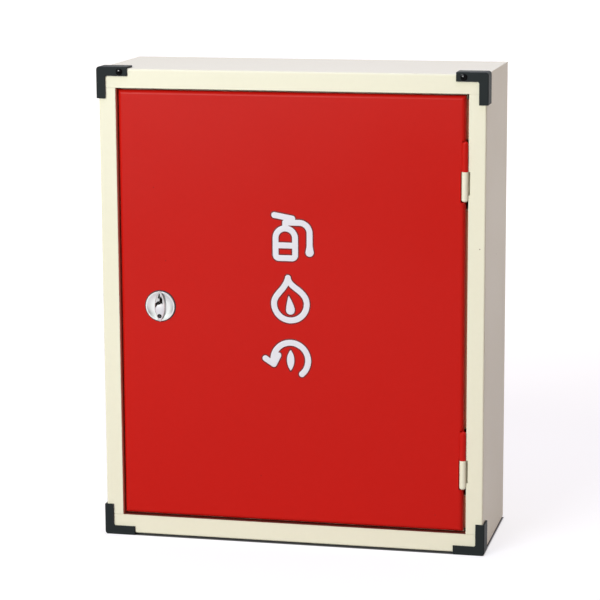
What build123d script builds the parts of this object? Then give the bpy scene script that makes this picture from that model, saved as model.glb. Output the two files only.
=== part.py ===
from build123d import *
import os

# Cabinet for two fire extinguishers: a folded steel box whose panels turn in at the front to
# make a frame, a red pan door on two lift-off hinges, a turn latch and four corner guards.
# Millimetres. X runs to the right, Y from the front to the wall, Z up. The origin is the middle
# of the footprint, at the height of the guards' undersides.

# Box
body_width = 490
body_height = 600
body_depth = 180
sheet = 1.2
bend = 2.4
stile_face = 21.5
rail_face = 24
seam_gap = 0.3

# Back panel and its wall holes
back_flange = 12
wall_hole_radius = 4.5
wall_hole_side_inset = 70
wall_hole_end_inset = 70

# Door
door_gap = 2.5
door_hinge_gap = 4.5
door_recess = 2
door_depth = 10
door_edge_radius = 5
door_lip = 9

# Strips that the door closes against
strip_foot = 14
strip_lip = 12
strip_inner_bend = 0.8
bumper_height = 1.5
bumper_radius = 5
bumper_edge_radius = 0.5
bumper_end_distance = 60
corner_relief = 15
strip_end_gap = 4
hinge_relief_below = 11
hinge_relief_above = 1

# Corner guards
guard_wall = 2.5
guard_arm = 40
guard_face = 11.5
guard_depth = 25
guard_corner_radius = 4
guard_edge_radius = 1.4
guard_inner_radius = 2.5
guard_end_radius = 0.8

# Lift-off hinges
hinge_spacing = 362
barrel_radius = 4
barrel_length = 37
barrel_dome = 2.8
barrel_edge_gap = 0.3
leaf_thickness = 1.6
leaf_end_gap = 2
pin_radius = 2.5
pin_clearance = 0.05
pin_floor = 5
pin_end_inset = 1
barrel_slot_width = 2
barrel_slot_depth = 5
barrel_slot_length = 29
frame_leaf_inset = 1.5
notch_clearance = 1.5
weld_gap = 0.1

# Stiffener behind the door skin
stiffener_width = 44
stiffener_crown = 32
stiffener_flange = 14
stiffener_depth = 7
stiffener_sheet = 1
stiffener_bend = 2
stiffener_end_gap = 4

# Turn latch
lock_edge_distance = 51.5
rose_radius = 19
rose_height = 2.2
rose_base = 0.8
rose_rim = 1.6
rose_dish_sag = 0.2
rose_edge_radius = 0.6
hub_radius = 6.5
lock_thread_radius = 10
lock_hole_clearance = 0.2
shaft_radius = 4
shaft_clearance = 0.1
nut_across_flats = 27
nut_thickness = 4
nut_clearance = 0.1
blade_length = 40
blade_width = 14
blade_thickness = 4.5
blade_lift = 0.3
blade_hole_radius = 1.8
blade_hole_offset = 12.2
cam_reach = 50
cam_width = 16
cam_thickness = 2
cam_gap = 0.5
cam_square = 6
cam_square_clearance = 0.05
cam_screw_radius = 4.5
cam_screw_head = 3
cam_screw_edge_radius = 1.5
cam_screw_shank = 2
cam_screw_length = 7
cam_screw_hole_depth = 8
keeper_thickness = 1.5
keeper_height = 40
keeper_edge_gap = 0.5
keeper_ramp = 1

# Planes and edges that pieces share
half_width = body_width / 2
handle_reach = rose_height + blade_lift + blade_thickness
proud = max(handle_reach - door_recess, barrel_radius, guard_wall)
front = (proud - body_depth) / 2
back = front + body_depth
bottom = guard_wall
top = bottom + body_height
mid_height = (bottom + top) / 2
opening_half = half_width - stile_face
opening_bottom = bottom + rail_face
opening_top = top - rail_face
door_left = -(opening_half - door_gap)
door_right = opening_half - door_hinge_gap
door_width = door_right - door_left
door_middle = (door_left + door_right) / 2
door_bottom = opening_bottom + door_gap
door_top = opening_top - door_gap
door_face = front + door_recess
door_inner = door_face + sheet
door_back = door_face + door_depth
stop_face = door_back + bumper_height
stop_back = stop_face + sheet
hinge_x = opening_half - barrel_edge_gap - barrel_radius
hinge_splits = (mid_height - hinge_spacing / 2, mid_height + hinge_spacing / 2)
lock_x = door_left + lock_edge_distance
lock_z = mid_height
cam_face = stop_back + keeper_thickness + cam_gap
cam_back = cam_face + cam_thickness
lock_body_end = cam_face - cam_gap

os.makedirs("parts", exist_ok=True)


def finish(part, name):
    """Label one finished piece and write its STEP file."""
    part.label = name
    export_step(part, f"parts/{name}.step")


def sheet_face(points, radii, thickness):
    """Fill a folded sheet's section: its bend line, thickened to the left of its direction."""
    with BuildLine() as section:
        FilletPolyline(*points, radius=radii)
        offset(amount=thickness, side=Side.LEFT)
    make_face(section.edges())


# Side panels: the wall of the box, folded in at the front as a stile. The stile stops at the
# rails, which run the full width, so the wall alone goes on behind them.
def side_panel():
    with BuildPart() as panel:
        with BuildSketch(Plane.XY.offset(bottom + sheet)):
            sheet_face([(opening_half, front), (half_width, front), (half_width, back)], bend, sheet)
        extrude(amount=body_height - 2 * sheet)
        for rail in (bottom, top):
            with Locations((half_width, front, rail)):
                Box(2 * stile_face, 2 * bend, 2 * (rail_face + seam_gap), mode=Mode.SUBTRACT)
    return panel.part


def hinge_slots(part):
    """Cut the stile's edge back beside the frame's barrel of each hinge."""
    with BuildPart() as slotted:
        add(part)
        for split in hinge_splits:
            with Locations((opening_half, front, split - barrel_slot_length / 2)):
                Box(2 * barrel_slot_width, 2 * barrel_slot_depth, barrel_slot_length,
                    mode=Mode.SUBTRACT)
    return slotted.part


right_side_panel = hinge_slots(side_panel())
left_side_panel = mirror(side_panel(), about=Plane.YZ)
finish(right_side_panel, "right_side_panel")
finish(left_side_panel, "left_side_panel")


# Top and bottom panels: the full width of the box, folded in at the front as a rail.
def cross_panel():
    with BuildPart() as panel:
        with BuildSketch(Plane.YZ.offset(-half_width)):
            sheet_face([(back, top), (front, top), (front, opening_top)], bend, sheet)
        extrude(amount=body_width)
    return panel.part


finish(cross_panel(), "top_panel")
finish(mirror(cross_panel(), about=Plane.XY.offset(mid_height)), "bottom_panel")


# Back panel: a shallow pan between the walls, with four holes for the wall bolts.
with BuildPart() as back_panel:
    with Locations((0, back - back_flange / 2, mid_height)):
        Box(body_width - 2 * sheet, back_flange, body_height - 2 * sheet)
    fillet(back_panel.faces().sort_by(Axis.Y)[-1].edges(), bend)
    offset(amount=-sheet, openings=back_panel.faces().sort_by(Axis.Y)[0])
    with Locations(Plane((0, back, mid_height), x_dir=(1, 0, 0), z_dir=(0, 1, 0))):
        with GridLocations(body_width - 2 * wall_hole_side_inset,
                           body_height - 2 * wall_hole_end_inset, 2, 2):
            Hole(wall_hole_radius, depth=2 * sheet)
finish(back_panel.part, "back_panel")


# Stop strips: Z-folded strips behind the frame. The foot lies behind the frame's face, the web
# lines the opening's edge, and the door closes on the lip.
def strip_section(edge):
    return [(edge + strip_foot, front + sheet), (edge, front + sheet),
            (edge, stop_face), (edge - strip_lip, stop_face)]


def side_strip():
    with BuildPart() as strip:
        with BuildSketch(Plane.XY.offset(opening_bottom)):
            with BuildLine() as section:
                FilletPolyline(*strip_section(opening_half), radius=[bend, strip_inner_bend])
                offset(amount=sheet, side=Side.RIGHT)
            make_face(section.edges())
        extrude(amount=opening_top - opening_bottom)
        lip_y = stop_face + sheet / 2
        for end in (opening_bottom, opening_top):
            with Locations((opening_half - strip_lip / 2, lip_y, end)):
                Box(strip_lip, sheet, 2 * corner_relief, mode=Mode.SUBTRACT)
    return strip.part


def hinge_reliefs(part):
    """Cut the strip's lip away behind each hinge, and its front corner beside the barrel."""
    relief = 2 * barrel_length + hinge_relief_below + hinge_relief_above
    with BuildPart() as relieved:
        add(part)
        for split in hinge_splits:
            relief_middle = split + (hinge_relief_above - hinge_relief_below) / 2
            with Locations((opening_half - strip_lip / 2, stop_face + sheet / 2, relief_middle)):
                Box(strip_lip, sheet, relief, mode=Mode.SUBTRACT)
    return hinge_slots(relieved.part)


finish(hinge_reliefs(side_strip()), "right_stop_strip")
finish(mirror(side_strip(), about=Plane.YZ), "left_stop_strip")


def cross_strip():
    strip_half = opening_half - strip_end_gap
    with BuildPart() as strip:
        with BuildSketch(Plane.YZ.offset(-strip_half)):
            with BuildLine() as section:
                FilletPolyline(*[(y, z) for z, y in strip_section(opening_top)],
                               radius=[bend, strip_inner_bend])
                offset(amount=sheet, side=Side.LEFT)
            make_face(section.edges())
        extrude(amount=2 * strip_half)
    return strip.part


finish(cross_strip(), "top_stop_strip")
finish(mirror(cross_strip(), about=Plane.XY.offset(mid_height)), "bottom_stop_strip")


# Door bumpers: rubber buttons on the lip of the latch side.
def door_bumper(height):
    with BuildPart() as bumper:
        middle_x = -(opening_half - strip_lip / 2)
        with BuildSketch(Plane((middle_x, stop_face, height), z_dir=(0, -1, 0))):
            Circle(bumper_radius)
        extrude(amount=bumper_height)
        fillet(bumper.faces().sort_by(Axis.Y)[0].edges(), bumper_edge_radius)
    return bumper.part


finish(door_bumper(door_top - bumper_end_distance), "upper_bumper")
finish(door_bumper(door_bottom + bumper_end_distance), "lower_bumper")


# Corner guards: moulded caps over the front, the side and the top or bottom of each corner.
def corner_guard():
    arm_middle = guard_arm / 2
    outer_x = half_width + guard_wall
    outer_z = top + guard_wall
    with BuildPart() as guard:
        with Locations((outer_x - arm_middle, front - guard_wall + guard_depth / 2, outer_z - arm_middle)):
            Box(guard_arm, guard_depth, guard_arm)
        corner = guard.edges().filter_by(Axis.Y).sort_by(lambda edge: edge.center().X + edge.center().Z)[-1]
        fillet(corner, guard_corner_radius)
        front_rim = guard.faces().sort_by(Axis.Y)[0].edges()
        outer_rim = front_rim.filter_by(lambda edge: edge.center().X + edge.center().Z
                                        > outer_x + outer_z - guard_arm)
        fillet(outer_rim, guard_edge_radius)
        with Locations((half_width - guard_arm, front + guard_depth, top - guard_arm)):
            Box(2 * guard_arm, 2 * guard_depth, 2 * guard_arm, mode=Mode.SUBTRACT)
        with Locations((outer_x - guard_face - guard_arm, front, outer_z - guard_face - guard_arm)):
            Box(2 * guard_arm, 4 * guard_wall, 2 * guard_arm, mode=Mode.SUBTRACT)
        inner_corner = (outer_x - guard_face, front - guard_wall / 2, outer_z - guard_face)
        fillet(guard.edges().filter_by(Axis.Y).sort_by_distance(inner_corner)[0], guard_inner_radius)
        for arm_end in (guard.faces().sort_by(Axis.X)[0], guard.faces().sort_by(Axis.Z)[0]):
            fillet(arm_end.edges().sort_by(Axis.Y)[0], guard_end_radius)
    return guard.part


top_right_guard = corner_guard()
bottom_right_guard = mirror(top_right_guard, about=Plane.XY.offset(mid_height))
finish(top_right_guard, "top_right_guard")
finish(bottom_right_guard, "bottom_right_guard")
finish(mirror(top_right_guard, about=Plane.YZ), "top_left_guard")
finish(mirror(bottom_right_guard, about=Plane.YZ), "bottom_left_guard")


# Door panel: a shallow pan, notched for the hinge barrels and bored for the latch.
def door_notch(reach, depth, low, high):
    """Cut the door's corner away beside a barrel, from one height to another."""
    with Locations((hinge_x, front, (low + high) / 2)):
        Box(2 * reach, 2 * depth, high - low, mode=Mode.SUBTRACT)


with BuildPart() as door_panel:
    with Locations((door_middle, (door_face + door_back) / 2, mid_height)):
        Box(door_width, door_depth, door_top - door_bottom)
    fillet(door_panel.faces().sort_by(Axis.Y)[0].edges(), door_edge_radius)
    offset(amount=-sheet, openings=door_panel.faces().sort_by(Axis.Y)[-1])
    for lip_middle in (door_left + door_lip / 2, door_right - door_lip / 2):
        with Locations((lip_middle, door_back - sheet / 2, mid_height)):
            Box(door_lip, sheet, door_top - door_bottom - 2 * sheet)
    for split in hinge_splits:
        frame_reach = barrel_radius + notch_clearance
        door_notch(frame_reach, frame_reach, split - barrel_length - notch_clearance, split)
        weld_reach = barrel_radius + weld_gap
        door_notch(weld_reach, weld_reach, split, split + barrel_length)
    with Locations(Plane((lock_x, door_face, lock_z), z_dir=(0, -1, 0))):
        Hole(lock_thread_radius + lock_hole_clearance, depth=2 * sheet)
finish(door_panel.part, "door_panel")


# Door stiffener: a hat channel up the middle of the door skin.
def stiffener_points():
    foot = stiffener_width / 2 + stiffener_flange
    return [(-foot, 0), (-stiffener_width / 2, 0), (-stiffener_crown / 2, stiffener_depth),
            (stiffener_crown / 2, stiffener_depth), (stiffener_width / 2, 0), (foot, 0)]


with BuildPart() as door_stiffener:
    stiffener_bottom = door_bottom + sheet + stiffener_end_gap
    with BuildSketch(Plane((door_middle, door_inner, stiffener_bottom))):
        sheet_face(stiffener_points(), stiffener_bend, stiffener_sheet)
    extrude(amount=door_top - door_bottom - 2 * (sheet + stiffener_end_gap))
finish(door_stiffener.part, "door_stiffener")


# Hinges: on each, the lower barrel is welded to the frame and carries the pin, and the upper
# barrel is welded to the door and lifts off it.
def hinge_barrel(split, upward, leaf_inside, leaf_start, leaf_end):
    """One barrel with its leaf, built upwards or downwards from the height where they meet."""
    with BuildPart() as half:
        with BuildSketch(Plane.XY.offset(split)):
            with Locations((hinge_x, front)):
                Circle(barrel_radius)
        extrude(amount=upward * barrel_length)
        far_end = half.faces().sort_by(Axis.Z)[-1 if upward > 0 else 0]
        fillet(far_end.edges(), barrel_dome)
        with BuildSketch(Plane.XY.offset(split)):
            with Locations((leaf_inside, leaf_start)):
                Rectangle(leaf_thickness, leaf_end - leaf_start, align=(Align.MIN, Align.MIN))
        extrude(amount=upward * (barrel_length - barrel_dome))
    return half.part


def frame_leaf(split):
    with BuildPart() as leaf:
        add(hinge_barrel(split, -1, opening_half - leaf_thickness,
                         front + frame_leaf_inset, stop_face - leaf_end_gap))
        with Locations(Plane((hinge_x, front, split))):
            Hole(pin_radius + pin_clearance, depth=barrel_length - pin_floor)
    return leaf.part


def door_leaf(split):
    with BuildPart() as leaf:
        add(hinge_barrel(split, 1, door_right, front, door_back - leaf_end_gap))
        with Locations(Plane((hinge_x, front, split), z_dir=(0, 0, -1))):
            Hole(pin_radius + pin_clearance, depth=barrel_length)
    return leaf.part


def hinge_pin(split):
    with BuildPart() as pin:
        with BuildSketch(Plane.XY.offset(split - barrel_length + pin_floor)):
            with Locations((hinge_x, front)):
                Circle(pin_radius)
        extrude(amount=2 * barrel_length - pin_floor - pin_end_inset)
        chamfer(pin.faces().sort_by(Axis.Z)[-1].edges(), pin_end_inset)
    return pin.part


for height_name, split in zip(("lower", "upper"), hinge_splits):
    finish(frame_leaf(split), f"{height_name}_hinge_frame_leaf")
    finish(door_leaf(split), f"{height_name}_hinge_door_leaf")
    finish(hinge_pin(split), f"{height_name}_hinge_pin")


# Latch body: a dished rose with a raised rim, on a barrel that passes through the door.
lock_axis = Axis((lock_x, 0, lock_z), (0, 1, 0))
lock_section = Plane((lock_x, 0, lock_z), x_dir=(1, 0, 0), z_dir=(0, 0, 1))

with BuildPart() as lock_body:
    with BuildSketch(lock_section):
        with BuildLine():
            bore = shaft_radius + shaft_clearance
            dish_floor = door_face - rose_base
            rim_top = door_face - rose_height
            rim_inner = rose_radius - rose_rim
            Line((bore, lock_body_end), (bore, dish_floor))
            Line((bore, dish_floor), (hub_radius, dish_floor))
            ThreePointArc((hub_radius, dish_floor),
                          ((hub_radius + rim_inner) / 2, dish_floor + rose_dish_sag),
                          (rim_inner, rim_top))
            Line((rim_inner, rim_top), (rose_radius, rim_top))
            Line((rose_radius, rim_top), (rose_radius, door_face))
            Line((rose_radius, door_face), (lock_thread_radius, door_face))
            Line((lock_thread_radius, door_face), (lock_thread_radius, lock_body_end))
            Line((lock_thread_radius, lock_body_end), (bore, lock_body_end))
        make_face()
    revolve(axis=lock_axis)
    rim_edges = lock_body.edges().filter_by(GeomType.CIRCLE).filter_by_position(
        Axis.Y, rim_top - rose_edge_radius, rim_top + rose_edge_radius)
    fillet(rim_edges.sort_by(lambda edge: edge.radius)[-1], rose_edge_radius)
finish(lock_body.part, "lock_body")

with BuildPart() as lock_nut:
    with BuildSketch(Plane((lock_x, door_inner, lock_z), z_dir=(0, 1, 0))):
        RegularPolygon(nut_across_flats / 2, 6, major_radius=False)
        Circle(lock_thread_radius + nut_clearance, mode=Mode.SUBTRACT)
    extrude(amount=nut_thickness)
finish(lock_nut.part, "lock_nut")


# Latch handle: a lens-shaped blade with a domed face on a hub, and the spindle that carries the cam.
def domed_blade():
    """Half of a pointed spindle that stands upright on the origin, flattened to the blade's depth."""
    with BuildPart() as dome:
        with BuildSketch():
            with BuildLine():
                ThreePointArc((0, -blade_length / 2), (blade_width / 2, 0), (0, blade_length / 2))
                Line((0, blade_length / 2), (0, -blade_length / 2))
            make_face()
        revolve(axis=Axis.Y)
        with Locations((0, 0, -blade_width)):
            Box(2 * blade_width, 2 * blade_length, 2 * blade_width, mode=Mode.SUBTRACT)
    return scale(dome.part, by=(1, 1, blade_thickness / (blade_width / 2)))


blade_foot = door_face - rose_height - blade_lift
blade_seat = Plane((lock_x, blade_foot, lock_z), x_dir=(1, 0, 0), z_dir=(0, -1, 0))
blade = blade_seat.location * domed_blade()

with BuildPart() as lock_handle:
    add(blade)
    with Locations(Plane((lock_x, blade_foot, lock_z - blade_hole_offset), z_dir=(0, -1, 0))):
        Cylinder(blade_hole_radius, 2 * blade_thickness, mode=Mode.SUBTRACT)
    hub_foot = door_face - rose_base
    with BuildSketch(Plane((lock_x, hub_foot, lock_z), z_dir=(0, -1, 0))):
        Circle(hub_radius - rose_edge_radius)
    extrude(amount=hub_foot - blade_foot)
    with BuildSketch(Plane((lock_x, hub_foot, lock_z), z_dir=(0, 1, 0))):
        Circle(shaft_radius)
    extrude(amount=lock_body_end - hub_foot)
    with BuildSketch(Plane((lock_x, lock_body_end, lock_z), z_dir=(0, 1, 0))):
        Rectangle(cam_square, cam_square)
    extrude(amount=cam_back - lock_body_end)
    with Locations(Plane((lock_x, cam_back, lock_z), z_dir=(0, 1, 0))):
        Hole(cam_screw_shank, depth=cam_screw_hole_depth)
finish(lock_handle.part, "lock_handle")

# Cam: a flat arm that hangs down while the door is free, and turns behind the keeper to latch.
with BuildPart() as lock_cam:
    with BuildSketch(Plane((lock_x, cam_face, lock_z), x_dir=(1, 0, 0), z_dir=(0, -1, 0))):
        with Locations((0, -(cam_reach - cam_width / 2) / 2)):
            SlotOverall(cam_reach + cam_width / 2, cam_width, rotation=90)
        square = cam_square + 2 * cam_square_clearance
        Rectangle(square, square, mode=Mode.SUBTRACT)
    extrude(amount=-cam_thickness)
finish(lock_cam.part, "lock_cam")

with BuildPart() as cam_screw:
    with BuildSketch(Plane((lock_x, cam_back, lock_z), z_dir=(0, 1, 0))):
        Circle(cam_screw_radius)
    extrude(amount=cam_screw_head)
    fillet(cam_screw.faces().sort_by(Axis.Y)[-1].edges(), cam_screw_edge_radius)
    with BuildSketch(Plane((lock_x, cam_back, lock_z), z_dir=(0, -1, 0))):
        Circle(cam_screw_shank - cam_square_clearance)
    extrude(amount=cam_screw_length)
finish(cam_screw.part, "cam_screw")

# Keeper: a wear plate behind the lip of the latch side, with a ramp where the cam comes in.
with BuildPart() as latch_keeper:
    keeper_width = strip_lip - keeper_edge_gap
    keeper_middle = -(opening_half - strip_lip + keeper_width / 2)
    with Locations((keeper_middle, stop_back + keeper_thickness / 2, lock_z)):
        Box(keeper_width, keeper_thickness, keeper_height)
    ramp_edge = latch_keeper.faces().sort_by(Axis.Y)[-1].edges().sort_by(Axis.Z)[0]
    chamfer(ramp_edge, keeper_ramp)
finish(latch_keeper.part, "latch_keeper")
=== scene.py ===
from math import cos, pi, radians, sin, tan

import bpy
from mathutils import Matrix, Vector


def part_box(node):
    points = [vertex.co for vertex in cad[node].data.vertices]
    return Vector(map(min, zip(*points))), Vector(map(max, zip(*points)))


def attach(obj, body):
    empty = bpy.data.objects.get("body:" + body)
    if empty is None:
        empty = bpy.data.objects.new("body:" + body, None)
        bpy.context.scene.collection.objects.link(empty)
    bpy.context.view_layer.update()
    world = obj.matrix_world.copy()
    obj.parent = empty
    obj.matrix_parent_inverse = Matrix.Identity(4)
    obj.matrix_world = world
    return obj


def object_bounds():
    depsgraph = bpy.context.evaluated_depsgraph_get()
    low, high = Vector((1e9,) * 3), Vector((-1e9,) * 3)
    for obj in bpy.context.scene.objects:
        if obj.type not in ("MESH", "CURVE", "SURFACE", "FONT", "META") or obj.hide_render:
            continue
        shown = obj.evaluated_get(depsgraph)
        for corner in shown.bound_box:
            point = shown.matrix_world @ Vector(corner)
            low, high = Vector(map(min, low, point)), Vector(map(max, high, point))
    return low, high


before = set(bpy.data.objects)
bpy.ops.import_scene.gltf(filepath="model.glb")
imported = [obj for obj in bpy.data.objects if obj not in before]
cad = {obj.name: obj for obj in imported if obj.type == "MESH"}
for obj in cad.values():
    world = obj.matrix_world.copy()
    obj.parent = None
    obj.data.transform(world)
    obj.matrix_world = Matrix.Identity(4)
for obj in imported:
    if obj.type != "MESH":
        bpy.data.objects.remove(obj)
cad_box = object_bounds()


# Camera. Its place, aim and lens come from fitting the box's corners to the photograph, which is
# taken from a little above and to the right, about three metres away.
camera_place = (0.6654, -2.9297, 0.8667)
camera_heading = radians(12.94)
camera_tilt = radians(79.33)
camera_roll = radians(-0.29)
camera_lens = 142.6

bpy.ops.object.camera_add(location=camera_place)
camera = bpy.context.object
camera.data.lens = camera_lens
camera_aim = (Matrix.Rotation(camera_heading, 3, "Z") @ Matrix.Rotation(camera_tilt, 3, "X")
              @ Matrix.Rotation(camera_roll, 3, "Z"))
camera.rotation_euler = camera_aim.to_euler()
bpy.context.scene.camera = camera
bpy.context.scene.view_settings.view_transform = "Standard"


# Studio. A white room: a level light from all round, which the eye and polished metal see as
# white paper, and large soft lamps in front, above and behind. A fourth lamp puts a glint on the
# two screw caps, and lights nothing else.
def add_node(tree, kind, inputs=None, **settings):
    """Add one node with its settings, and set or link its inputs."""
    node = tree.nodes.new(kind)
    for setting, value in settings.items():
        setattr(node, setting, value)
    for socket, value in (inputs or {}).items():
        if isinstance(value, bpy.types.NodeSocket):
            tree.links.new(value, node.inputs[socket])
        else:
            node.inputs[socket].default_value = value
    return node


def seen_rays(tree):
    """One for rays that show the background: to the eye, in gloss and through glass."""
    path = add_node(tree, "ShaderNodeLightPath")
    eye_or_gloss = add_node(tree, "ShaderNodeMath", operation="MAXIMUM", inputs={
        0: path.outputs["Is Camera Ray"], 1: path.outputs["Is Glossy Ray"]})
    seen = add_node(tree, "ShaderNodeMath", operation="MAXIMUM", inputs={
        0: eye_or_gloss.outputs[0], 1: path.outputs["Is Transmission Ray"]})
    return seen.outputs[0]


room_light = (0.38, 0.28, 0.24, 1)
paper_white = (1, 1, 1, 1)
world = bpy.data.worlds.new("studio")
bpy.context.scene.world = world
world.use_nodes = True
room = world.node_tree
room.nodes.clear()
room_glow = add_node(room, "ShaderNodeBackground", {"Color": room_light})
room_paper = add_node(room, "ShaderNodeBackground", {"Color": paper_white})
room_mix = add_node(room, "ShaderNodeMixShader", {
    0: seen_rays(room), 1: room_glow.outputs[0], 2: room_paper.outputs[0]})
add_node(room, "ShaderNodeOutputWorld", {0: room_mix.outputs[0]})

front_light = (0.93, 1.0, 0.97)
top_light = (0.42, 0.54, 1.0)
back_light = (1.0, 0.99, 0.97)
gloss_light = (1.0, 1.0, 1.0)
cabinet_middle = (cad_box[0] + cad_box[1]) / 2


def heading_to(heading, height):
    """The direction at a heading from the object's front and a height, both in degrees."""
    turn = radians(heading)
    rise = radians(height)
    return Vector((sin(turn) * cos(rise), -cos(turn) * cos(rise), sin(rise)))


def soft_lamp(name, heading, height, distance, size, power, colour):
    """Hang a square lamp round the object, aimed at its middle."""
    direction = heading_to(heading, height)
    bpy.ops.object.light_add(type="AREA", location=cabinet_middle + distance * direction)
    lamp = bpy.context.object
    lamp.name = name
    lamp.rotation_euler = direction.to_track_quat("Z", "Y").to_euler()
    lamp.data.size = size
    lamp.data.energy = power
    lamp.data.color = colour
    return lamp


soft_lamp("front_lamp", heading=-22, height=19, distance=3.9, size=1.9, power=112,
          colour=front_light)
soft_lamp("top_lamp", heading=20, height=80, distance=2.6, size=1.6, power=25,
          colour=top_light)
soft_lamp("back_lamp", heading=188, height=40, distance=3.2, size=1.6, power=10,
          colour=back_light)
gloss_lamp = soft_lamp("gloss_lamp", heading=-24, height=27, distance=3.8, size=1.6, power=800,
                       colour=gloss_light)
gloss_lamp.visible_diffuse = False


# Cards. Five strips of dark cloth and a sheet of white paper, held before the latch to give its
# polished handle something to mirror. Only gloss sees them, and they aren't part of the object.
cloth_distance = 0.5
cloth_shade = 0.01
paper_distance = 0.58
paper_glow = 0.86
latch_low, latch_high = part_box("lock_handle")
latch_middle = (latch_low + latch_high) / 2


def card_finish(name, shade, glow):
    """A matt grey with a white glow of its own."""
    finish = bpy.data.materials.new(name)
    finish.use_nodes = True
    shader = finish.node_tree.nodes["Principled BSDF"]
    shader.inputs["Base Color"].default_value = (shade, shade, shade, 1)
    shader.inputs["Roughness"].default_value = 1
    shader.inputs["Emission Color"].default_value = paper_white
    shader.inputs["Emission Strength"].default_value = glow
    return finish


def flag(name, finish, distance, heading, height, width, tall, turn):
    """Hold a card before the latch, placed, sized and turned in degrees as the latch sees it."""
    direction = heading_to(heading, height)
    bpy.ops.mesh.primitive_plane_add(size=1, location=latch_middle + distance * direction)
    card = bpy.context.object
    card.name = name
    facing = direction.to_track_quat("Z", "Y").to_matrix() @ Matrix.Rotation(radians(turn), 3, "Z")
    card.rotation_euler = facing.to_euler()
    card.scale = (2 * distance * tan(radians(width / 2)), 2 * distance * tan(radians(tall / 2)), 1)
    card.visible_camera = False
    card.visible_diffuse = False
    card.visible_shadow = False
    card.data.materials.append(finish)


dark_cloth = card_finish("dark_cloth", cloth_shade, 0)
flag_paper = card_finish("flag_paper", 0, paper_glow)
flag("top_flag", dark_cloth, cloth_distance, heading=-24, height=23, width=44, tall=18, turn=0)
flag("right_flag", dark_cloth, cloth_distance, heading=16, height=12, width=50, tall=20, turn=-10)
flag("corner_flag", dark_cloth, cloth_distance, heading=38, height=19, width=26, tall=8, turn=-30)
flag("middle_flag", dark_cloth, cloth_distance, heading=-14, height=1.5, width=54, tall=11, turn=6)
flag("left_flag", dark_cloth, cloth_distance, heading=-70, height=-6, width=70, tall=12, turn=8)
flag("paper_flag", flag_paper, paper_distance, heading=-21, height=21, width=46, tall=38, turn=0)


# Floor. White paper that takes the object's shadow and glows wherever the background shows. Under
# the box and over the last 2.5 mm before it, its colour and glow are dimmed: a painted contact
# shadow that draws a thin dark line where the box stands.
floor_size = 30
near_glow = 0.7
far_glow = 1.0
near_reach = 0.7
far_reach = 3.0
floor_shade = (0.45, 0.45, 0.46)
painted_contact_shade = 0.35
painted_shadow_start = 0
painted_shadow_end = 0.0025
footing_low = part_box("left_side_panel")[0]
footing_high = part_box("right_side_panel")[1]

bpy.ops.mesh.primitive_plane_add(size=floor_size, location=(0, 0, 0))
floor = bpy.context.object
floor.name = "floor"
floor_paper = bpy.data.materials.new("floor_paper")
floor_paper.use_nodes = True
floor_tree = floor_paper.node_tree
floor_shader = floor_tree.nodes["Principled BSDF"]
floor_shader.inputs["Roughness"].default_value = 1
floor_shader.inputs["Specular IOR Level"].default_value = 0
floor_shader.inputs["Emission Color"].default_value = paper_white
floor_place = add_node(floor_tree, "ShaderNodeTexCoord").outputs["Object"]
floor_reach = add_node(floor_tree, "ShaderNodeVectorMath", {0: floor_place}, operation="LENGTH")
floor_glow = add_node(floor_tree, "ShaderNodeMapRange", {
    "Value": floor_reach.outputs["Value"], "From Min": near_reach, "From Max": far_reach,
    "To Min": near_glow, "To Max": far_glow})
floor_from_middle = add_node(floor_tree, "ShaderNodeVectorMath", {
    0: floor_place, 1: (footing_low + footing_high) / 2}, operation="SUBTRACT")
floor_fold = add_node(floor_tree, "ShaderNodeVectorMath", {
    0: floor_from_middle.outputs[0]}, operation="ABSOLUTE")
floor_beyond = add_node(floor_tree, "ShaderNodeVectorMath", {
    0: floor_fold.outputs[0], 1: (footing_high - footing_low) / 2}, operation="SUBTRACT")
floor_sides = add_node(floor_tree, "ShaderNodeSeparateXYZ", {0: floor_beyond.outputs[0]})
floor_outside = add_node(floor_tree, "ShaderNodeMath", {
    0: floor_sides.outputs["X"], 1: floor_sides.outputs["Y"]}, operation="MAXIMUM")
# Painted contact shadow: 0 under the box, clearing to 1 at 2.5 mm beyond its sides; it dims both
# the floor's colour and its glow.
floor_unshadowed = add_node(floor_tree, "ShaderNodeMapRange", {
    "Value": floor_outside.outputs[0], "From Min": painted_shadow_start, "From Max": painted_shadow_end})
floor_painted_shadow = add_node(floor_tree, "ShaderNodeMapRange", {
    "Value": floor_unshadowed.outputs[0], "To Min": painted_contact_shade})
floor_grey = add_node(floor_tree, "ShaderNodeVectorMath", {
    0: floor_shade, "Scale": floor_painted_shadow.outputs[0]}, operation="SCALE")
floor_tree.links.new(floor_grey.outputs[0], floor_shader.inputs["Base Color"])
floor_bright = add_node(floor_tree, "ShaderNodeMath", {
    0: floor_unshadowed.outputs[0], 1: floor_glow.outputs[0]}, operation="MULTIPLY")
floor_lift = add_node(floor_tree, "ShaderNodeMath", {
    0: seen_rays(floor_tree), 1: floor_bright.outputs[0]}, operation="MULTIPLY")
floor_tree.links.new(floor_lift.outputs[0], floor_shader.inputs["Emission Strength"])
floor.data.materials.append(floor_paper)


# Sprayed enamel, shared by the box and the door: baked paint with a faint orange peel, a slow
# drift of tone across a panel and a very few specks of dust caught in it. The vinyl of the signs
# has a weaker form of it.
def new_group(name, inputs, outputs):
    """Start a node group. Each input has its kind and its first value, each output its kind."""
    group = bpy.data.node_groups.new(name, "ShaderNodeTree")
    for socket, (kind, value) in inputs.items():
        made = group.interface.new_socket(socket, in_out="INPUT", socket_type=kind)
        made.default_value = value
    for socket, kind in outputs.items():
        group.interface.new_socket(socket, in_out="OUTPUT", socket_type=kind)
    return group, group.nodes.new("NodeGroupInput"), group.nodes.new("NodeGroupOutput")


def end_group(group, end, results):
    """Link a group's results to its output sockets."""
    for socket, result in results.items():
        group.links.new(result, end.inputs[socket])


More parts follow.
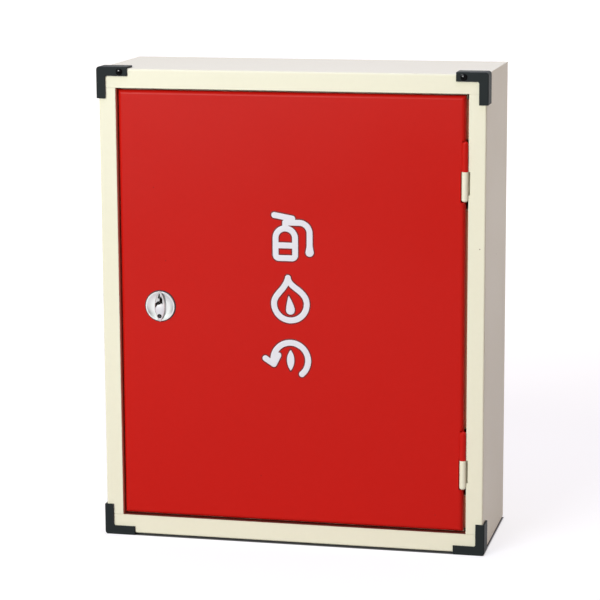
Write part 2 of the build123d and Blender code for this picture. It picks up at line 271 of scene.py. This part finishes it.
def noise(group, place, scale, detail, roughness=0.5):
    """Noise from 0 to 1 over the surface."""
    node = add_node(group, "ShaderNodeTexNoise", {
        "Vector": place, "Scale": scale, "Detail": detail, "Roughness": roughness})
    return node.outputs["Fac"]


def swing(group, place, scale, detail):
    """Noise over the surface that swings half a unit either way round zero."""
    node = add_node(group, "ShaderNodeMath", {
        0: noise(group, place, scale, detail), 1: 0.5}, operation="SUBTRACT")
    return node.outputs[0]


def vary(group, value, change, amount):
    """A value with some amount of a change added."""
    node = add_node(group, "ShaderNodeMath", {0: change, 1: amount, 2: value},
                    operation="MULTIPLY_ADD")
    return node.outputs[0]


def shade(group, colour, tone):
    """A colour made lighter or darker by a tone."""
    node = add_node(group, "ShaderNodeVectorMath", {0: colour, "Scale": tone}, operation="SCALE")
    return node.outputs[0]


def relief(group, height, strength, distance):
    """The surface's normal, bent by relief of some height."""
    node = add_node(group, "ShaderNodeBump", {
        "Strength": strength, "Distance": distance, "Height": height})
    return node.outputs[0]


colour_kind = "NodeSocketColor"
number_kind = "NodeSocketFloat"
normal_kind = "NodeSocketVector"
surface_outputs = {"Colour": colour_kind, "Roughness": number_kind, "Normal": normal_kind}

enamel_skin, enamel_start, enamel_end = new_group("enamel_skin", {
    "Colour": (colour_kind, (0.8, 0.8, 0.8, 1)),
    "Speck Colour": (colour_kind, (0.2, 0.15, 0.1, 1)),
    "Drift": (number_kind, 0.02),
    "Roughness": (number_kind, 0.35),
    "Peel": (number_kind, 0.2),
}, surface_outputs)

panel_drift_scale = 5
mottle_scale = 160
speck_scale = 22
speck_reach = 0.016
peel_scale = 330
peel_roughness = 0.4
peel_height = 0.0004
gloss_drift_scale = 14
gloss_drift = 0.08

enamel_place = add_node(enamel_skin, "ShaderNodeTexCoord").outputs["Object"]
panel_drift = noise(enamel_skin, enamel_place, panel_drift_scale, detail=2)
mottle = noise(enamel_skin, enamel_place, mottle_scale, detail=3)
both_drifts = add_node(enamel_skin, "ShaderNodeMath", {0: panel_drift, 1: mottle}, operation="ADD")
enamel_swing = add_node(enamel_skin, "ShaderNodeMath", {
    0: both_drifts.outputs[0], 1: 1}, operation="SUBTRACT")
enamel_tone = vary(enamel_skin, 1, enamel_swing.outputs[0], enamel_start.outputs["Drift"])
enamel_colour = shade(enamel_skin, enamel_start.outputs["Colour"], enamel_tone)
specks = add_node(enamel_skin, "ShaderNodeTexVoronoi", {
    "Vector": enamel_place, "Scale": speck_scale})
speck_mask = add_node(enamel_skin, "ShaderNodeMath", {
    0: specks.outputs["Distance"], 1: speck_reach}, operation="LESS_THAN")
specked = add_node(enamel_skin, "ShaderNodeMixRGB", {
    "Fac": speck_mask.outputs[0], "Color1": enamel_colour,
    "Color2": enamel_start.outputs["Speck Colour"]})
gloss_swing = swing(enamel_skin, enamel_place, gloss_drift_scale, detail=4)
peel = noise(enamel_skin, enamel_place, peel_scale, detail=2, roughness=peel_roughness)
end_group(enamel_skin, enamel_end, {
    "Colour": specked.outputs[0],
    "Roughness": vary(enamel_skin, enamel_start.outputs["Roughness"], gloss_swing, gloss_drift),
    "Normal": relief(enamel_skin, peel, enamel_start.outputs["Peel"], peel_height)})


def new_finish(name, group, group_values, shader_values):
    """A material whose colour, roughness and relief come from a group."""
    finish = bpy.data.materials.new(name)
    finish.use_nodes = True
    tree = finish.node_tree
    shader = tree.nodes["Principled BSDF"]
    skin = add_node(tree, "ShaderNodeGroup", node_tree=group)
    for socket, value in group_values.items():
        skin.inputs[socket].default_value = value
    tree.links.new(skin.outputs["Colour"], shader.inputs["Base Color"])
    tree.links.new(skin.outputs["Roughness"], shader.inputs["Roughness"])
    tree.links.new(skin.outputs["Normal"], shader.inputs["Normal"])
    for socket, value in shader_values.items():
        shader.inputs[socket].default_value = value
    return finish


def coat(finish, slot, *names):
    """Give CAD nodes a finish in place of the plain one that they came with."""
    for name in names:
        cad[name].data.materials.clear()
        cad[name].data.materials.append(finish)


# Box. Folded steel panels, stop strips and the frame halves of the hinges, all sprayed with one
# ivory enamel after they are welded together.
ivory = (0.868, 0.846, 0.665, 1)
ivory_speck = (0.30, 0.24, 0.17, 1)
ivory_enamel = new_finish("ivory_enamel", enamel_skin, {
    "Colour": ivory, "Speck Colour": ivory_speck, "Drift": 0.03, "Roughness": 0.36, "Peel": 0.12,
}, {"Specular IOR Level": 0.25})
coat(ivory_enamel, "cabinet_paint", "back_panel", "top_panel", "bottom_panel",
     "left_side_panel", "right_side_panel", "left_stop_strip", "right_stop_strip",
     "top_stop_strip", "bottom_stop_strip", "lower_hinge_frame_leaf", "upper_hinge_frame_leaf")


# Door. A shallow steel pan with its stiffener and the door halves of the hinges, sprayed with a
# signal red enamel that is a little smoother than the box's.
signal_red = (0.56, 0.0088, 0.0046, 1)
red_speck = (0.30, 0.012, 0.01, 1)
red_enamel = new_finish("red_enamel", enamel_skin, {
    "Colour": signal_red, "Speck Colour": red_speck, "Drift": 0.05, "Roughness": 0.33,
    "Peel": 0.16,
}, {"Specular IOR Level": 0.12})
coat(red_enamel, "door_paint", "door_panel", "door_stiffener", "lower_hinge_door_leaf",
     "upper_hinge_door_leaf")


# Moulded parts. The corner guards are satin black plastic with a fine spark-eroded grain from
# the mould, and the door bumpers are soft black rubber.
moulded_grain, grain_start, grain_end = new_group("moulded_grain", {
    "Colour": (colour_kind, (0.02, 0.02, 0.02, 1)),
    "Drift": (number_kind, 0.2),
    "Roughness": (number_kind, 0.45),
    "Grain": (number_kind, 0.3),
}, surface_outputs)

flow_scale = 30
grain_scale = 1500
grain_height = 0.0002

grain_place = add_node(moulded_grain, "ShaderNodeTexCoord").outputs["Object"]
flow = swing(moulded_grain, grain_place, flow_scale, detail=3)
flow_tone = vary(moulded_grain, 1, flow, grain_start.outputs["Drift"])
grain = noise(moulded_grain, grain_place, grain_scale, detail=2)
end_group(moulded_grain, grain_end, {
    "Colour": shade(moulded_grain, grain_start.outputs["Colour"], flow_tone),
    "Roughness": vary(moulded_grain, grain_start.outputs["Roughness"], flow, gloss_drift),
    "Normal": relief(moulded_grain, grain, grain_start.outputs["Grain"], grain_height)})

guard_plastic = new_finish("guard_plastic", moulded_grain, {
    "Colour": (0.018, 0.0224, 0.0234, 1), "Drift": 0.25, "Roughness": 0.5, "Grain": 0.35},
    {"Specular IOR Level": 0.08})
coat(guard_plastic, "guard_plastic", "top_left_guard", "top_right_guard", "bottom_left_guard",
     "bottom_right_guard")

bumper_rubber = new_finish("bumper_rubber", moulded_grain, {
    "Colour": (0.03, 0.03, 0.032, 1), "Drift": 0.2, "Roughness": 0.75, "Grain": 0.5}, {})
coat(bumper_rubber, "bumper_rubber", "upper_bumper", "lower_bumper")


# Metal. The latch's handle is polished chrome plate and its rose is satin chrome. The pins, nut,
# cam, screw and keeper are zinc plate, duller and faintly clouded.
plated_metal, plate_start, plate_end = new_group("plated_metal", {
    "Colour": (colour_kind, (0.8, 0.8, 0.8, 1)),
    "Cloud": (number_kind, 0.1),
    "Roughness": (number_kind, 0.1),
    "Scratch": (number_kind, 0.05),
}, surface_outputs)

cloud_scale = 90
scratch_scale = 700
scratch_stretch = (1, 1, 0.05)
scratch_height = 0.0001

plate_place = add_node(plated_metal, "ShaderNodeTexCoord").outputs["Object"]
cloud = swing(plated_metal, plate_place, cloud_scale, detail=3)
cloud_amount = plate_start.outputs["Cloud"]
cloud_tone = vary(plated_metal, 1, cloud, cloud_amount)
scratch_place = add_node(plated_metal, "ShaderNodeMapping", {
    "Vector": plate_place, "Scale": scratch_stretch})
scratches = noise(plated_metal, scratch_place.outputs[0], scratch_scale, detail=2)
end_group(plated_metal, plate_end, {
    "Colour": shade(plated_metal, plate_start.outputs["Colour"], cloud_tone),
    "Roughness": vary(plated_metal, plate_start.outputs["Roughness"], cloud, cloud_amount),
    "Normal": relief(plated_metal, scratches, plate_start.outputs["Scratch"], scratch_height)})

latch_chrome = new_finish("latch_chrome", plated_metal, {
    "Colour": (0.66, 0.66, 0.67, 1), "Cloud": 0.04, "Roughness": 0.06, "Scratch": 0.03},
    {"Metallic": 1})
coat(latch_chrome, "chrome", "lock_handle")
rose_chrome = new_finish("rose_chrome", plated_metal, {
    "Colour": (0.63, 0.63, 0.625, 1), "Cloud": 0.14, "Roughness": 0.34, "Scratch": 0.15},
    {"Metallic": 1})
coat(rose_chrome, "chrome", "lock_body")

zinc_plate = new_finish("zinc_plate", plated_metal, {
    "Colour": (0.62, 0.63, 0.62, 1), "Cloud": 0.2, "Roughness": 0.34, "Scratch": 0.2},
    {"Metallic": 1})
coat(zinc_plate, "plated_steel", "lower_hinge_pin", "upper_hinge_pin", "lock_nut", "lock_cam",
     "cam_screw", "latch_keeper")


# Latch gasket. A thin black rubber ring between the latch's rose and the door, pressed out a little
# all round when the nut behind the door is tightened. Its black rim is also painted shade: a dark
# line round the rose that stands for the shadow where the rose meets the door.
gasket_and_shade_reach = 0.0013
gasket_and_shade_height = 0.0007
door_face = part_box("door_panel")[0].y
rose_low, rose_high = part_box("lock_body")
rose_middle = (rose_low + rose_high) / 2
rose_half = (rose_high.x - rose_low.x) / 2
facing_front = (pi / 2, 0, 0)


def settle(piece):
    """Put a piece's place, turn and size in its mesh, so that its object sits at the origin."""
    bpy.ops.object.select_all(action="DESELECT")
    piece.select_set(True)
    bpy.context.view_layer.objects.active = piece
    bpy.ops.object.transform_apply(location=True, rotation=True, scale=True)


bpy.ops.object.select_all(action="DESELECT")
bpy.ops.mesh.primitive_torus_add(
    major_segments=128, minor_segments=16, major_radius=rose_half + gasket_and_shade_reach - gasket_and_shade_height,
    minor_radius=gasket_and_shade_height, location=(rose_middle.x, door_face, rose_middle.z),
    rotation=facing_front)
gasket_and_shade = bpy.context.object
gasket_and_shade.name = "latch_gasket_and_shade"
settle(gasket_and_shade)
bpy.ops.object.shade_smooth()
gasket_and_shade.data.materials.append(bumper_rubber)
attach(gasket_and_shade, "door")


# Guard screws. One black capped screw fixes the arm of each upper guard to the rail. Its cap is
# a glossy moulded dome on a thin flange, pressed down on the guard.
screw_inset = 0.0303
screw_drop = 0.0062
flange_radius = 0.0043
flange_thickness = 0.0006
flange_edge = flange_thickness / 3
dome_radius = 0.0036
dome_height = 0.0018
smooth_angle = radians(35)

screw_black = new_finish("screw_black", moulded_grain, {
    "Colour": (0.002, 0.002, 0.0025, 1), "Drift": 0.1, "Roughness": 0.07, "Grain": 0.01},
    {"Specular IOR Level": 0.07})


def apply_modifiers(piece):
    """Apply a piece's modifiers in turn."""
    bpy.ops.object.select_all(action="DESELECT")
    piece.select_set(True)
    bpy.context.view_layer.objects.active = piece
    for name in [modifier.name for modifier in piece.modifiers]:
        bpy.ops.object.modifier_apply(modifier=name)


def unite(piece, other):
    """Weld another solid into a piece, and remove the other."""
    weld = piece.modifiers.new("weld", "BOOLEAN")
    weld.operation = "UNION"
    weld.object = other
    apply_modifiers(piece)
    bpy.data.objects.remove(other)


def round_edges(piece, radius, segments):
    """Round a piece's sharp edges and shade the rest smooth."""
    edges = piece.modifiers.new("edges", "BEVEL")
    edges.width = radius
    edges.segments = segments
    edges.limit_method = "ANGLE"
    apply_modifiers(piece)
    bpy.ops.object.shade_smooth_by_angle(angle=smooth_angle)


def guard_screw(name, guard, side):
    """Model one screw cap on the front of a guard; side is -1 on the left and 1 on the right."""
    low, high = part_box(guard)
    outer = low.x if side < 0 else high.x
    seat = Vector((outer - side * screw_inset, low.y, high.z - screw_drop))
    bpy.ops.object.select_all(action="DESELECT")
    bpy.ops.mesh.primitive_uv_sphere_add(segments=64, ring_count=48, radius=dome_radius,
                                         location=seat, rotation=facing_front)
    screw = bpy.context.object
    screw.name = name
    bpy.ops.object.mode_set(mode="EDIT")
    bpy.ops.mesh.select_all(action="SELECT")
    bpy.ops.mesh.bisect(plane_co=seat, plane_no=(0, -1, 0), clear_inner=True, use_fill=True)
    bpy.ops.object.mode_set(mode="OBJECT")
    screw.scale.z = dome_height / dome_radius
    screw.location.y -= flange_thickness
    settle(screw)
    bpy.ops.mesh.primitive_cylinder_add(vertices=64, radius=flange_radius, depth=flange_thickness,
                                        location=seat - Vector((0, flange_thickness / 2, 0)),
                                        rotation=facing_front)
    flange = bpy.context.object
    settle(flange)
    unite(screw, flange)
    round_edges(screw, flange_edge, segments=3)
    screw.data.materials.append(screw_black)
    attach(screw, "cabinet")
    return screw


glossy_caps = bpy.data.collections.new("glossy_caps")
glossy_caps.objects.link(guard_screw("top_left_guard_screw", "top_left_guard", -1))
glossy_caps.objects.link(guard_screw("top_right_guard_screw", "top_right_guard", 1))
gloss_lamp.light_linking.receiver_collection = glossy_caps


# Latch eyelet. A black plastic ring pressed into the hole near the lower end of the latch's
# handle, so that a seal's wire doesn't rub on the plate.
eyelet_drop = 0.0122
eyelet_rise = 0.0054
eyelet_radius = 0.0021
eyelet_thickness = 0.00075
eyelet_flatness = 0.6
eyelet_tilt = radians(15)

bpy.ops.object.select_all(action="DESELECT")
bpy.ops.mesh.primitive_torus_add(major_segments=64, minor_segments=16, major_radius=eyelet_radius,
                                 minor_radius=eyelet_thickness)
eyelet = bpy.context.object
eyelet.name = "latch_eyelet"
eyelet.scale.z = eyelet_flatness
eyelet.rotation_euler = (pi / 2 + eyelet_tilt, 0, 0)
eyelet.location = (rose_middle.x, door_face - eyelet_rise, rose_middle.z - eyelet_drop)
settle(eyelet)
bpy.ops.object.shade_smooth()
eyelet.data.materials.append(screw_black)
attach(eyelet, "latch")


# Door seals. Rubber strips stuck in the opening, on the folded strips that the door closes against:
# red-brown ones on the edges at the left, top and bottom, and tan ones at the hinges. Their colours
# are painted shade: they stand for the dark, reddish shadow in the gap round the door and for the
# shaded ivory lip seen through it at the hinges.
seal_thickness = 0.0008
seal_front = 0.0017
seal_back = 0.0115
lip_seal_width = 0.006
lip_seal_inset = 0.0015
seal_edge = 0.0002
lip_seal_bottom_gap = 0.005
lip_seal_top_gap = 0.008
seal_below_hinge = 0.049
seal_above_hinge = 0.039
# Painted shade: each seal colour is the tone of the shaded gap where that seal sits.
cross_seal_painted_shade = (0.15, 0.02, 0.012, 1)
latch_side_painted_shade = (0.62, 0.17, 0.11, 1)
hinge_side_painted_shade = (0.62, 0.28, 0.18, 1)

opening_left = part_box("left_side_panel")[1].x
opening_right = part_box("right_side_panel")[0].x
opening_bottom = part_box("bottom_panel")[1].z
opening_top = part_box("top_panel")[0].z
frame_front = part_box("left_side_panel")[0].y
lip_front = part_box("upper_bumper")[1].y


def seal_rubber(name, colour):
    """The soft matt rubber of the seals, in one colour that is painted shade."""
    return new_finish(name, moulded_grain, {
        "Colour": colour, "Drift": 0.2, "Roughness": 0.7, "Grain": 0.4},
        {"Specular IOR Level": 0.2})


def seal_bar(name, rubber, low, high):
    """One straight strip with rounded edges, fixed in the opening between two corners."""
    bpy.ops.object.select_all(action="DESELECT")
    bpy.ops.mesh.primitive_cube_add(
        size=1, location=[(start + end) / 2 for start, end in zip(low, high)],
        scale=[end - start for start, end in zip(low, high)])
    bar = bpy.context.object
    bar.name = name
    settle(bar)
    round_edges(bar, seal_edge, segments=2)
    bar.data.materials.append(rubber)
    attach(bar, "cabinet")


cross_seal_shade_rubber = seal_rubber("cross_seal_shade_rubber", cross_seal_painted_shade)
latch_side_shade_rubber = seal_rubber("latch_side_shade_rubber", latch_side_painted_shade)
hinge_side_shade_rubber = seal_rubber("hinge_side_shade_rubber", hinge_side_painted_shade)

edge_front = frame_front + seal_front
edge_back = frame_front + seal_back
seal_bar("latch_side_shade_seal", latch_side_shade_rubber,
         (opening_left, edge_front, opening_bottom + seal_thickness),
         (opening_left + seal_thickness, edge_back, opening_top - seal_thickness))
seal_bar("bottom_shade_seal", cross_seal_shade_rubber,
         (opening_left, edge_front, opening_bottom),
         (opening_right, edge_back, opening_bottom + seal_thickness))
seal_bar("top_shade_seal", cross_seal_shade_rubber,
         (opening_left, edge_front, opening_top - seal_thickness),
         (opening_right, edge_back, opening_top))

lip_seal_ends = [opening_bottom + lip_seal_bottom_gap]
for end in ("lower", "upper"):
    frame_leaf_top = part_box(end + "_hinge_frame_leaf")[1].z
    door_leaf_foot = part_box(end + "_hinge_door_leaf")[0].z
    hinge_level = (frame_leaf_top + door_leaf_foot) / 2
    lip_seal_ends += [hinge_level - seal_below_hinge, hinge_level + seal_above_hinge]
lip_seal_ends.append(opening_top - lip_seal_top_gap)

lip_seal_edge = opening_right - lip_seal_inset
lip_seal_runs = zip(lip_seal_ends[0::2], lip_seal_ends[1::2])
for number, (foot, top) in enumerate(lip_seal_runs, start=1):
    seal_bar("hinge_side_shade_seal_" + str(number), hinge_side_shade_rubber,
             (lip_seal_edge - lip_seal_width, lip_front - seal_thickness, foot),
             (lip_seal_edge, lip_front, top))


# Door signs. Three white vinyl pictograms with a thin dark red edge, stuck one above another on
# the middle of the door: an extinguisher, a flame and an arrow for the way the latch opens. They
# are drawn in millimetres from their own middles.
sign_centre = -0.0005
extinguisher_level = 0.3963
flame_level = 0.3174
turn_level = 0.2393
white_rise = 0.0002
edge_rise = 0.0001
mm_per_metre = 1000
stroke_half = 4
edge_width = 1.3
cap_tip_share = 0.02
cap_steps = 6
curve_steps = 32
round_steps = 6
merge_reach = 0.00001
vinyl_white = (0.774, 0.77, 0.824, 1)
vinyl_white_speck = (0.6, 0.5, 0.5, 1)
vinyl_red = (0.16, 0.004, 0.006, 1)
vinyl_red_speck = (0.2, 0.01, 0.01, 1)


def sign_vinyl(name, colour, speck):
    """The satin vinyl of the signs, in one colour, with specks of another."""
    return new_finish(name, enamel_skin, {
        "Colour": colour, "Speck Colour": speck, "Drift": 0.02, "Roughness": 0.4, "Peel": 0.05},
        {"Specular IOR Level": 0.3})


def arc(centre, radius, start, end):
    """Points along an arc, in millimetres, from one angle in degrees to another."""
    turns = [radians(start + (end - start) * step / curve_steps) for step in range(curve_steps + 1)]
    return [(centre[0] + radius * cos(turn), centre[1] + radius * sin(turn)) for turn in turns]


def sweep(start, first, second, end):
    """Points along a Bezier curve from start to end, with two handles."""
    corners = (start, first, second, end)
    points = []
    for step in range(curve_steps + 1):
        t = step / curve_steps
        weights = ((1 - t) ** 3, 3 * t * (1 - t) ** 2, 3 * t * t * (1 - t), t ** 3)
        x = sum(weight * corner[0] for weight, corner in zip(weights, corners))
        z = sum(weight * corner[1] for weight, corner in zip(weights, corners))
        points.append((x, z))
    return points


def stroke(points):
    """A stroke of even width, as points with half its width."""
    return [(x, z, stroke_half) for x, z in points]


def capped(line):
    """Close a stroke's two ends with half circles."""
    caps = []
    for end, inside in ((line[0], line[1]), (line[-1], line[-2])):
        half = end[2]
        out = (Vector(end[:2]) - Vector(inside[:2])).normalized()
        cap = []
        for step in range(1, cap_steps + 1):
            turn = radians(90 * step / cap_steps)
            cap.append((end[0] + half * sin(turn) * out.x, end[1] + half * sin(turn) * out.y,
                        max(half * cos(turn), half * cap_tip_share)))
        caps.append(cap)
    return caps[0][::-1] + line + caps[1]


def sign_layer(name, strokes, loops, level, extra, rise, finish):
    """One layer of a sign: flat bars with round edges, each extra mm wider, let into the door."""
    bpy.ops.object.select_all(action="DESELECT")
    bpy.ops.object.add(type="CURVE")
    layer = bpy.context.object
    layer.name = name
    layer.data.dimensions = "3D"
    layer.data.bevel_depth = 1 / mm_per_metre
    layer.data.bevel_resolution = round_steps
    layer.data.use_fill_caps = True
    for line, closed in [(line, False) for line in strokes] + [(line, True) for line in loops]:
        wide = [(x, z, half + extra) for x, z, half in line]
        wide = wide if closed else capped(wide)
        spline = layer.data.splines.new("POLY")
        spline.points.add(len(wide) - 1)
        spline.use_cyclic_u = closed
        for point, (x, z, half) in zip(spline.points, wide):
            point.co = (x / mm_per_metre, 0, z / mm_per_metre, 1)
            point.radius = half
    bpy.ops.object.convert(target="MESH")
    bpy.ops.object.mode_set(mode="EDIT")
    bpy.ops.mesh.select_all(action="SELECT")
    bpy.ops.mesh.remove_doubles(threshold=merge_reach)
    bpy.ops.mesh.normals_make_consistent(inside=False)
    bpy.ops.object.mode_set(mode="OBJECT")
    layer.scale.y = rise / ((stroke_half + extra) / mm_per_metre)
    layer.location = (sign_centre, door_face, level)
    settle(layer)
    bpy.ops.object.shade_smooth_by_angle(angle=smooth_angle)
    layer.data.materials.append(finish)
    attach(layer, "door")


def sign(name, strokes, loops, level):
    """A pictogram: a white layer over an edge that is a little wider all round."""
    sign_layer(name, strokes, loops, level, 0, white_rise, sign_white)
    sign_layer(name + "_edge", strokes, loops, level, edge_width, edge_rise, sign_edge)


sign_white = sign_vinyl("sign_white", vinyl_white, vinyl_white_speck)
sign_edge = sign_vinyl("sign_edge", vinyl_red, vinyl_red_speck)

bottle = [(-18.5, -23)] + arc((-6, -2), 12.5, 180, 0) + [(6.5, -23)]
bottle += arc((2.5, -23), 4, 0, -90) + arc((-14.5, -23), 4, -90, -180)
neck = [(-6, 11), (-6, 18)]
lever = [(-20, 27), (3, 23)]
label_line = [(-18, -11), (6, -11)]
hose = stroke([(-6, 18)] + arc((12, 5), 13, 90, 0) + [(25, -10)])
hose += [(25, -13, 4.4), (25, -16, 5), (25, -19, 5.6)]
sign("extinguisher_sign", [stroke(neck), stroke(lever), hose, stroke(label_line)],
     [stroke(bottle)], extinguisher_level)

flame = sweep((-3, 27), (-2, 14), (21, 12), (21, -6)) + arc((0, -6), 21, 0, -180)[1:]
flame += sweep((-21, -6), (-21, 6), (-6, 12), (-3, 27))[1:]
ember = [(-2, 4, 0.8), (-1.5, 0, 2.2), (-1, -4, 3.6), (-0.5, -8, 4.9), (0, -12, 5.7), (0, -14, 5.9)]
sign("flame_sign", [stroke(flame), ember], [], flame_level)

turn_radius = 22.5
blade_reach = 13
blade_half = 5
blade_taper = 4.2
turn = arc((0, 0), turn_radius, -50, 195)
tip_x, tip_z = turn[-1]
outer_barb = [(tip_x - 10.9, tip_z + 7.1), (tip_x, tip_z)]
inner_barb = [(tip_x, tip_z), (tip_x + 5.9, tip_z + 11.6)]
blade = [(0, z, blade_half - blade_taper * (z / blade_reach) ** 2)
         for z in range(-blade_reach, blade_reach + 1)]
sign("turn_sign", [stroke(turn), stroke(outer_barb), stroke(inner_barb), blade], [], turn_level)
